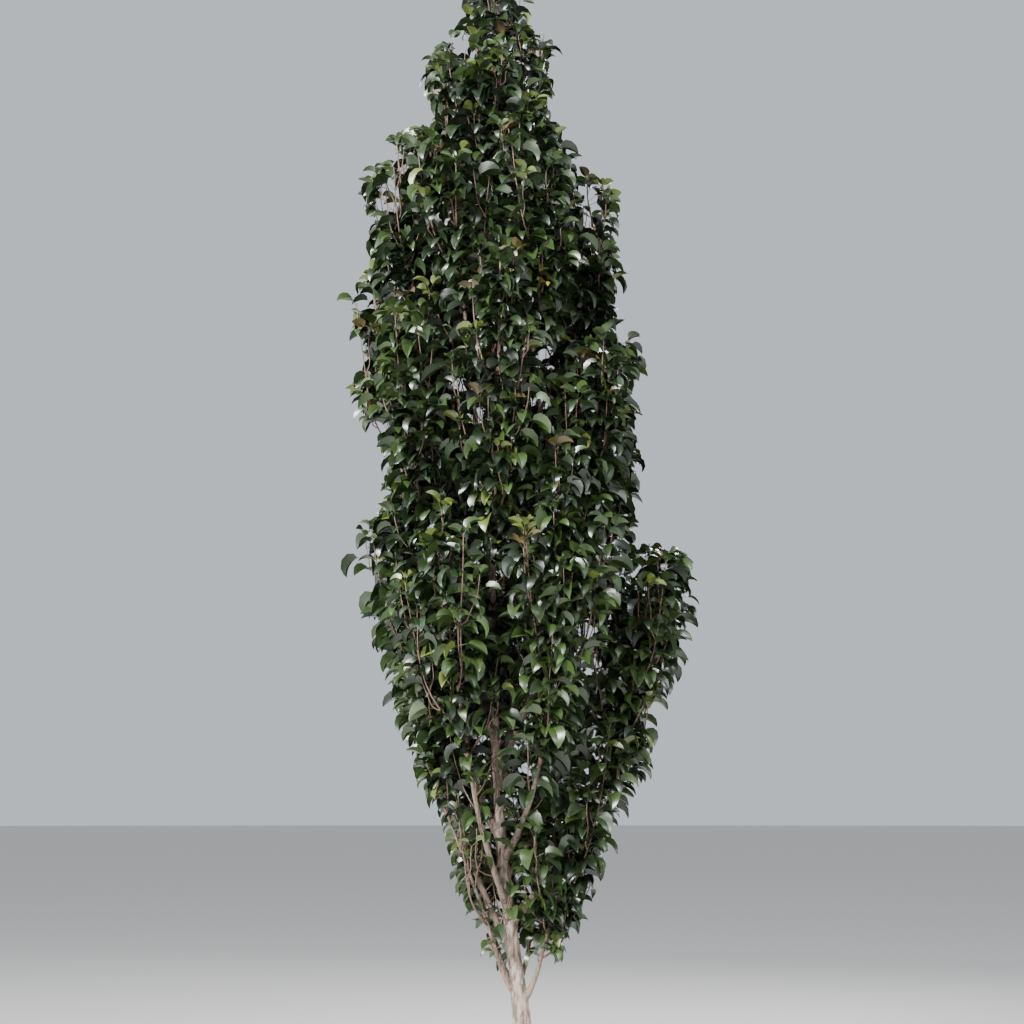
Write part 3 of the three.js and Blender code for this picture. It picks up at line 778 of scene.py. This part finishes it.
add_node(shoot_bark, "ShaderNodeOutputMaterial", links={"Surface": shoot_shader.outputs[0]})

# Stem bark: the boughs' bark, younger, smoother and a little redder, so the stems lie between the
# boughs and the shoots in tone.
stem_bark = make_bark("brown_stem_bark", "#8c786c", "#5d4b41", scale_width=8, crack_share=0.36)
stems = add_piece("upright_stems", upright_stems.points, upright_stems.faces, stem_bark)
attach(stems, "root")
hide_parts(*(f"foliage_{shoot['name']}" for shoot in shoots))

masses_of_tier = {}
for shoot in shoots:
    masses_of_tier.setdefault(shoot["tier"], []).append(f"foliage_{shoot['name']}")
for tier, wood in wood_of_tier.items():
    young_wood = add_piece(f"shoots_and_spurs_{tier}", wood.points, wood.faces, shoot_bark)
    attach(young_wood, "root")
    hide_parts(*masses_of_tier[tier])

# Leaves
# Each is a living blade as long as a finger, egg-shaped with a drawn-out tip, folded a little along
# its midrib and arched over, on a long thin stalk. They stand in a spiral along the shoots, in
# rosettes on the spurs, and close together at each shoot's tip.

LEAF_LENGTH = 0.090
LEAF_WIDTH = 0.055
STALK_LENGTH = 0.036
STALK_RADIUS = 0.0010
STALK_BEND = math.radians(14)
STALK_SIDES = 3
STALK_MIDDLES = np.array((0.25, 0.75))
BLADE_STATIONS = np.array((0, 0.09, 0.25, 0.46, 0.68, 0.87, 1))
BLADE_WIDTHS = np.array((0, 0.66, 1, 0.96, 0.69, 0.30, 0))
BLADE_ACROSS = np.array((-1, -0.5, 0, 0, 0.5, 1))
ARCH_POWER = 0.85
ROLL_AT_FOOT = 0.7
ROLL_GAIN = 0.6
CUPPING = 0.30

# Where leaves stand along a shoot, a spur and a stem's tip, as shares of its length, and how many.
LEAF_PITCH = 0.024
LEAFY_SHARE = 0.9
FEWEST_LEAVES = 2
LEAVES_FROM = 0.12
LEAVES_OVER = 0.86
SHOOT_TIP = 0.985
SPUR_TIP = 0.9
SPUR_LEAVES = 5
SPUR_LEAVES_PLAY = 1.4
STEM_TIP_FROM = 0.1
STEM_TIP_PITCH = 0.11
STEM_TIP_LEAVES = 8
STEM_TIP_GROWN = 6
STEM_TIP = 0.99
TIP_LEAVES = 5

# A leaf's size, rise from level and bend to its tip, when it is grown and at a young tip, and its
# roll to one side, fold and stalk's share, each from the least to the most. Angles are in degrees.
GROWN = ((0.72, 1.14), (5, 60), (50, 118))
AT_TIP = ((0.55, 0.85), (48, 82), (45, 95))
ROLLS = (-52, 52)
FOLDS = (0.45, 1.25)
STALK_SHARES = (0.75, 1.25)
SPIRAL_PLAY = 0.4
LEAF_SPREAD = 90
OUTWARD_PULL = 0.55
NEVER_ZERO = 1e-6
MOST_SEED = 2147483000


def leaf_places(spray, number):
    if spray["kind"] == "shoot":
        count = max(int(line_length(spray["line"]) * LEAFY_SHARE / LEAF_PITCH), FEWEST_LEAVES)
        places = [(LEAVES_FROM + LEAVES_OVER * (k + 0.5) / count, False) for k in range(count)]
        return places + [(SHOOT_TIP, True)] * (TIP_LEAVES - 2)
    if spray["kind"] == "spur":
        return [(SPUR_TIP, False)] * (SPUR_LEAVES - 1 + round(number() * SPUR_LEAVES_PLAY))
    places = [(STEM_TIP_FROM + STEM_TIP_PITCH * k, k >= STEM_TIP_GROWN)
              for k in range(STEM_TIP_LEAVES)]
    return places + [(STEM_TIP, True)] * TIP_LEAVES


# One row for each leaf: its stem's place in the list, its root, the way it hangs out, its size, rise,
# bend, roll and fold, its own number, whether it is at a tip, its spray's number and its stalk's
# share.
def leaf_facts():
    facts = []
    for spray in sprays:
        number = seeded(int(spray["number"] * MOST_SEED) + 1)
        places = leaf_places(spray, number)
        turn = 2 * math.pi * number()
        for k, (share, at_tip) in enumerate(places):
            root, way = along_line(spray["line"], share)
            angle = turn + k * GOLDEN_ANGLE + SPIRAL_PLAY * number()
            outward = root - trunk_axis(root[2])
            outward = outward / (np.linalg.norm(outward) + NEVER_ZERO)
            out = away_from(way, angle, LEAF_SPREAD) + OUTWARD_PULL * outward
            out[2] = 0
            size, rise, bend = (between(*span, number()) for span in (AT_TIP if at_tip else GROWN))
            facts.append((spray["index"], *root, *unit(out), size, math.radians(rise),
                          math.radians(bend), math.radians(between(*ROLLS, number())),
                          between(*FOLDS, number()), number(), float(at_tip), spray["number"],
                          between(*STALK_SHARES, number())))
    return np.array(facts)


facts = leaf_facts()
roots, outs = facts[:, 1:4], facts[:, 4:7]
sizes, rises, bends, rolls, folds = facts[:, 7:12].T
own_numbers, at_tips, spray_numbers, stalk_shares = facts[:, 12:].T
stalks = STALK_LENGTH * sizes * stalk_shares


def go_along(starts, outs, angles, steps):
    ways = np.cos(angles)[..., None] * outs[:, None] + np.sin(angles)[..., None] * UP
    return starts[:, None] + np.concatenate(
        (np.zeros((len(starts), 1, 3)), np.cumsum(ways * steps[..., None], axis=1)), axis=1)


# All the leaves at once: the stalk bends down in two halves, the midrib arches over from station to
# station, and the blade's rows stand across it, rolled, folded and slightly cupped.
def leaf_meshes(roots, outs, sizes, rises, bends, rolls, folds, stalks):
    count = len(roots)
    stalk_angles = rises[:, None] - STALK_BEND * STALK_MIDDLES
    stalk = go_along(roots, outs, stalk_angles, np.repeat(stalks[:, None] / 2, 2, axis=1))
    lengths = LEAF_LENGTH * sizes
    middles = (BLADE_STATIONS[1:] + BLADE_STATIONS[:-1]) / 2
    angles = (rises - STALK_BEND)[:, None] - bends[:, None] * middles ** ARCH_POWER
    steps = lengths[:, None] * np.diff(BLADE_STATIONS)
    midrib = go_along(stalk[:, -1], outs, angles, steps)
    at_station = (rises - STALK_BEND)[:, None] - bends[:, None] * BLADE_STATIONS ** ARCH_POWER
    normal = -np.sin(at_station)[..., None] * outs[:, None] + np.cos(at_station)[..., None] * UP
    side = np.cross(np.broadcast_to(UP, outs.shape), outs)[:, None]
    rolled = rolls[:, None] * (ROLL_AT_FOOT + ROLL_GAIN * BLADE_STATIONS)
    across = np.cos(rolled)[..., None] * side + np.sin(rolled)[..., None] * normal
    face = np.cos(rolled)[..., None] * normal - np.sin(rolled)[..., None] * side
    half = 0.5 * LEAF_WIDTH * sizes[:, None] * BLADE_WIDTHS
    lift = folds[:, None] * np.abs(BLADE_ACROSS) - CUPPING * folds[:, None] * BLADE_ACROSS ** 2
    rows = midrib[:, :, None] + across[:, :, None] * (half[..., None] * BLADE_ACROSS)[..., None] \
        + face[:, :, None] * (half[..., None] * lift[:, None])[..., None]
    blade = np.concatenate((midrib[:, :1], rows[:, 1:-1].reshape(count, -1, 3), midrib[:, -1:]),
                           axis=1)
    stalk_way = np.cos(rises)[:, None] * outs + np.sin(rises)[:, None] * UP
    stalk_over = np.cross(side[:, 0], stalk_way)
    corners = [2 * math.pi * k / STALK_SIDES for k in range(STALK_SIDES)]
    ring = np.stack([math.cos(a) * side[:, 0] + math.sin(a) * stalk_over for a in corners], axis=1)
    tube = stalk[:, ::2, None] + ring[:, None] * STALK_RADIUS
    return np.concatenate((blade, tube.reshape(count, -1, 3)), axis=1)


# The midrib's points are doubled, so that the blade keeps a crisp fold along it. The stalk is an
# open tube, whose ends are hidden in the shoot and under the blade.
def leaf_faces():
    rows, wide = len(BLADE_STATIONS) - 2, len(BLADE_ACROSS)
    tip = rows * wide + 1
    last = 1 + (rows - 1) * wide
    strips = [k for k in range(wide - 1) if k != wide // 2 - 1]
    faces = [(0, k + 2, k + 1) for k in strips]
    for row in range(rows - 1):
        low = 1 + row * wide
        faces += [(low + k, low + k + 1, low + wide + k + 1, low + wide + k) for k in strips]
    faces += [(last + k, last + k + 1, tip) for k in strips]
    return faces + tube_faces(2, STALK_SIDES, tip + 1)


blade_points = 2 + (len(BLADE_STATIONS) - 2) * len(BLADE_ACROSS)


def blade_middles(blades):
    return blades[:, 1:blade_points].mean(axis=1)


# The lower trunk's left edge shows between the leaves, so none hangs in front of it.
BARE_TRUNK_TO = 2.0
BARE_LEFT = -0.040
BARE_RIGHT = 0.012


def hides_trunk(blades):
    middle = blade_middles(blades)
    axis = trunk_axis(middle[:, 2])
    aside = middle[:, 0] - axis[:, 0]
    return (middle[:, 2] < BARE_TRUNK_TO) & (middle[:, 1] < axis[:, 1]) \
        & (aside > BARE_LEFT) & (aside < BARE_RIGHT)


# Light from the upper left of the front falls on the lower trunk through a gap in the leaves, where
# only a few still hang: the way to the light seen from above, its climb, and the stretch it lights.
LIGHT_WAY = np.array((-0.59, -0.81))
LIGHT_CLIMB = 0.87
LIT_TRUNK = (1.0, 1.8)
GAP_WIDTH = 0.06
KEPT_IN_GAP = 0.12


def shades_trunk(blades, own_numbers):
    middle = blade_middles(blades)
    towards_light = ((middle - trunk_axis(middle[:, 2]))[:, :2] * LIGHT_WAY).sum(axis=1)
    lit_height = middle[:, 2] - LIGHT_CLIMB * towards_light
    off_axis = (middle - trunk_axis(lit_height))[:, :2]
    beside = off_axis[:, 0] * LIGHT_WAY[1] - off_axis[:, 1] * LIGHT_WAY[0]
    return (towards_light > 0) & (np.abs(beside) < GAP_WIDTH) & (own_numbers > KEPT_IN_GAP) \
        & (lit_height > LIT_TRUNK[0]) & (lit_height < LIT_TRUNK[1])


# Seen from the front, the sky shows in slots between the outer shoots: each one's place across and
# up, its half-width and its half-height. A few leaves still hang into them.
SKY_GAPS = (
    (-0.27, 4.83, 0.035, 0.05), (-0.53, 4.29, 0.025, 0.03), (-0.57, 4.15, 0.035, 0.075),
    (-0.34, 4.09, 0.025, 0.045), (0.27, 4.08, 0.026, 0.10), (-0.67, 3.70, 0.035, 0.03),
    (0.40, 3.57, 0.022, 0.04), (-0.11, 3.50, 0.025, 0.02), (0.07, 3.48, 0.022, 0.012),
    (-0.66, 3.43, 0.03, 0.02), (-0.27, 3.34, 0.022, 0.022), (-0.02, 3.35, 0.015, 0.015),
    (0.05, 3.26, 0.03, 0.015), (-0.20, 3.21, 0.022, 0.03), (-0.60, 3.17, 0.03, 0.022),
    (-0.64, 2.53, 0.025, 0.055), (-0.31, 2.35, 0.02, 0.03), (0.24, 2.33, 0.03, 0.03),
    (0.25, 2.20, 0.045, 0.045), (0.50, 1.98, 0.035, 0.035), (-0.17, 1.86, 0.018, 0.05))
KEPT_IN_SLOTS = 0.10


def fills_sky_gap(blades, own_numbers):
    across, height = seen_from_front(blades[:, 1:blade_points])
    filled = np.zeros(len(blades), bool)
    for gap_across, gap_height, half_width, half_height in SKY_GAPS:
        off_middle = np.hypot((across - gap_across) / half_width,
                              (height - gap_height) / half_height)
        filled |= off_middle.min(axis=1) < 1
    return filled & (own_numbers > KEPT_IN_SLOTS)


# Some leaves may stand a little out of the crown, others not quite at its edge, so the edge is
# ragged. A leaf that would stand out further stays smaller and hangs more steeply, or isn't grown.
OVERHANGS = (-0.020, 0.030)
SPRAY_OVERHANGS = (-0.020, 0.020)
TIP_OVERHANG = 0.025
LOWEST_LEAF = 0.925
HIGHEST_LEAF = 5.215
SMALLER = 0.72
STEEPER = 0.3


def within_reach(blades, overhangs):
    outline = blades[:, 1:blade_points]
    lowest, highest = outline[..., 2].min(axis=1), outline[..., 2].max(axis=1)
    return (reach_left(outline).min(axis=1) > -overhangs) & (lowest > LOWEST_LEAF) \
        & (highest < HIGHEST_LEAF)


blades = leaf_meshes(roots, outs, sizes, rises, bends, rolls, folds, stalks)
overhangs = between(*OVERHANGS, own_numbers) + TIP_OVERHANG * at_tips \
    + between(*SPRAY_OVERHANGS, spray_numbers)
short = ~within_reach(blades, overhangs)
blades[short] = leaf_meshes(roots[short], outs[short], sizes[short] * SMALLER, rises[short],
                            bends[short] + STEEPER, rolls[short], folds[short],
                            stalks[short] * SMALLER)
kept = within_reach(blades, overhangs) & ~hides_trunk(blades) \
    & ~shades_trunk(blades, own_numbers) & ~fills_sky_gap(blades, own_numbers)

# Leaf blades: dark green with a waxy gloss that catches the sky, each kind one even colour. Some
# sprays are fresher green, the youngest leaves yellow-green or bronze, and an odd old one yellow.
# The puckers between the veins are just under 5 mm, 210 to a metre.
LEAF_KINDS = {
    "deep_green": "#182513",
    "green": "#233319",
    "fresh_green": "#354821",
    "yellow_green": "#5d6a30",
    "bronze": "#51472a",
    "old_yellow": "#b7a03c",
}
PUCKERS_TO_METRE = 210


def make_leaf(name, colour):
    leaf = new_material(name)
    place = add_node(leaf, "ShaderNodeTexCoord")
    puckers = add_node(leaf, "ShaderNodeTexNoise", {"Scale": PUCKERS_TO_METRE, "Detail": 2},
                       {"Vector": place.outputs["Object"]})
    bump = add_node(leaf, "ShaderNodeBump", {"Strength": 0.25, "Distance": 0.001},
                    {"Height": puckers.outputs["Fac"]})
    shader = add_node(leaf, "ShaderNodeBsdfPrincipled",
                      {"Base Color": linear(colour), "Roughness": 0.34, "IOR": 1.5,
                       "Coat Weight": 0.45, "Coat Roughness": 0.3},
                      {"Normal": bump.outputs[0]})
    add_node(leaf, "ShaderNodeOutputMaterial", links={"Surface": shader.outputs[0]})
    return leaf


leaf_kinds = {kind: make_leaf(f"{kind}_leaf", colour) for kind, colour in LEAF_KINDS.items()}

# Each leaf's kind comes from its own number and its spray's: up to which number a spray is deep
# green or green, or has bronze or yellow-green tips, and which leaves differ from their spray. Below
# a height both numbers are pushed towards the fresher, lighter kinds, so the crown's foot is painted
# light.
PAINTED_LIGHT_BELOW = 2.4
PAINTED_LIGHT_LEAF_SHIFT = 0.02
PAINTED_LIGHT_SPRAY_SHIFT = 0.2
OLD_YELLOW_BELOW = 0.0008
YELLOW_GREEN_ABOVE = 0.985
BRONZE_TIPS_BELOW = 0.10
YELLOW_TIPS_BELOW = 0.34
DEEP_GREEN_BELOW = 0.42
GREEN_BELOW = 0.82


def kind_of(height, own, at_tip, spray):
    # Painted light: below this height more leaves take the lighter, fresher greens.
    if height < PAINTED_LIGHT_BELOW:
        own, spray = own + PAINTED_LIGHT_LEAF_SHIFT, min(spray + PAINTED_LIGHT_SPRAY_SHIFT, 1)
    if own < OLD_YELLOW_BELOW:
        return "old_yellow"
    if at_tip and spray < BRONZE_TIPS_BELOW:
        return "bronze"
    if at_tip:
        return "yellow_green" if spray < YELLOW_TIPS_BELOW else "fresh_green"
    if own > YELLOW_GREEN_ABOVE:
        return "yellow_green"
    if spray < DEEP_GREEN_BELOW:
        return "deep_green"
    return "green" if spray < GREEN_BELOW else "fresh_green"


kinds = np.array([kind_of(*leaf)
                  for leaf in zip(roots[:, 2], own_numbers, at_tips, spray_numbers)])
tiers = np.array([shoots[int(index)]["tier"] for index in facts[:, 0]])
one_leaf = leaf_faces()
for tier in wood_of_tier:
    for kind, material in leaf_kinds.items():
        chosen = blades[kept & (kinds == kind) & (tiers == tier)]
        if len(chosen):
            per_leaf = chosen.shape[1]
            faces = [tuple(corner + leaf * per_leaf for corner in face)
                     for leaf in range(len(chosen)) for face in one_leaf]
            leaves = add_piece(f"leaves_{kind}_{tier}", chosen.reshape(-1, 3), faces, material)
            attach(leaves, "root")
            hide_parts(*masses_of_tier[tier])

# Floor
# A plain pale floor that the tree's flat cut stands on. Its matt paint shows the tree's shadow
# softly and no gloss.

FLOOR_RADIUS = 260
FLOOR_SIDES = 64
floor_material = new_material("pale_floor")
floor_shader = add_node(floor_material, "ShaderNodeBsdfPrincipled",
                        {"Base Color": linear("#cbc9c5"), "Roughness": 0.9})
add_node(floor_material, "ShaderNodeOutputMaterial", links={"Surface": floor_shader.outputs[0]})
floor_corners = [(FLOOR_RADIUS * math.cos(a), FLOOR_RADIUS * math.sin(a), 0)
                 for a in np.linspace(0, 2 * math.pi, FLOOR_SIDES + 1)[:-1]]
floor = add_piece("floor", floor_corners, [tuple(range(FLOOR_SIDES))], floor_material)

# Light
# One broad soft key from the upper left of the front, a weaker one from the right, a low one from
# the left, a fourth behind, and an even pale surround.

SURROUND_STRENGTH = 0.85
world = bpy.data.worlds.new("pale_surround")
bpy.context.scene.world = world
world.use_nodes = True
background = world.node_tree.nodes["Background"]
background.inputs["Color"].default_value = linear("#dfe6ee")
background.inputs["Strength"].default_value = SURROUND_STRENGTH


def add_light(name, place, aim_height, size, watts):
    light = bpy.data.lights.new(name, "AREA")
    light.size = size
    light.energy = watts
    lamp = bpy.data.objects.new(name, light)
    lamp.location = place
    aim = Vector((0, 0, aim_height))
    lamp.rotation_euler = (aim - Vector(place)).to_track_quat("-Z", "Y").to_euler()
    bpy.context.scene.collection.objects.link(lamp)


add_light("key_light", (-5.5, -7.5, 9.5), aim_height=2.8, size=3.0, watts=3700)
add_light("fill_light", (7, -6, 5), aim_height=2.6, size=4.0, watts=380)
add_light("low_light", (-6.5, -4.5, 1.4), aim_height=1.5, size=2.0, watts=380)
add_light("back_light", (3, 7, 8), aim_height=3.2, size=4.0, watts=900)

# Camera
# At eye height in front of the tree, tilted up, so that the frame cuts the tip and the foot. Its
# focal length in pixels, from the photo's perspective, is turned to one on a 36 mm sensor.

TILT_UP = 10.1
SENSOR_WIDTH = 36
FOCAL_PIXELS = 1700
PICTURE_PIXELS = 1024
CLIP_END = 600
camera_data = bpy.data.cameras.new("camera")
camera_data.sensor_width = SENSOR_WIDTH
camera_data.lens = SENSOR_WIDTH * FOCAL_PIXELS / PICTURE_PIXELS
camera_data.clip_end = CLIP_END
camera = bpy.data.objects.new("camera", camera_data)
camera.location = SIGHT_FROM
camera.rotation_euler = (math.radians(90 + TILT_UP), 0, 0)
bpy.context.scene.collection.objects.link(camera)
bpy.context.scene.camera = camera
